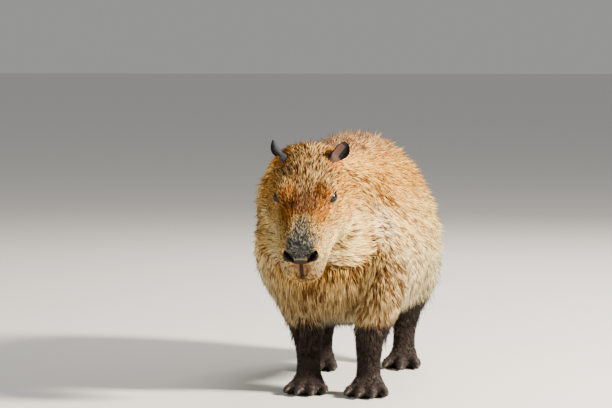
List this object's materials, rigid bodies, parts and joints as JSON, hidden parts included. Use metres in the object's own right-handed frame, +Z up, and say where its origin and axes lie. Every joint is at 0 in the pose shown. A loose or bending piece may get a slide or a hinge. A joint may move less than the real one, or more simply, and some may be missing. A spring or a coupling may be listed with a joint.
{
  "type": "capybara",
  "caption": "Life-size still model of a standing capybara with its head lowered, for a museum-style display on a flat floor.",
  "frame": {"origin": "on the floor, under the centre of the model's bounding box", "axes": "+Z up, the animal faces -Y with its body along Y, and its left side is +X"},
  "size_m": [0.3747, 0.9693, 0.5195],
  "materials": {
    "coat": "long coarse golden-brown hair in damp, clumped locks, paler to white on the flanks and reddish on the back",
    "face": "short dense hair, rust-red between the eyes, grizzled grey on the muzzle, bare dark nose",
    "leg": "short near-black hair over wrinkled skin, bare webbed toes",
    "ear": "thin bare skin, slate grey with a near-black rim",
    "eye": "wet dark brown",
    "claw": "smooth dark horn"
  },
  "bodies": {
    "root": {"head": "face", "neck": "coat", "torso": "coat", "ear_left": "ear", "eye_left": "eye", "foreleg_left": "leg", "forefoot_left": "leg", "foreclaw_left_1": "claw", "foreclaw_left_2": "claw", "foreclaw_left_3": "claw", "foreclaw_left_4": "claw", "hindleg_left": "leg", "hindfoot_left": "leg", "hindclaw_left_1": "claw", "hindclaw_left_2": "claw", "hindclaw_left_3": "claw", "ear_right": "ear", "eye_right": "eye", "foreleg_right": "leg", "forefoot_right": "leg", "foreclaw_right_1": "claw", "foreclaw_right_2": "claw", "foreclaw_right_3": "claw", "foreclaw_right_4": "claw", "hindleg_right": "leg", "hindfoot_right": "leg", "hindclaw_right_1": "claw", "hindclaw_right_2": "claw", "hindclaw_right_3": "claw"}
  },
  "joints": []
}
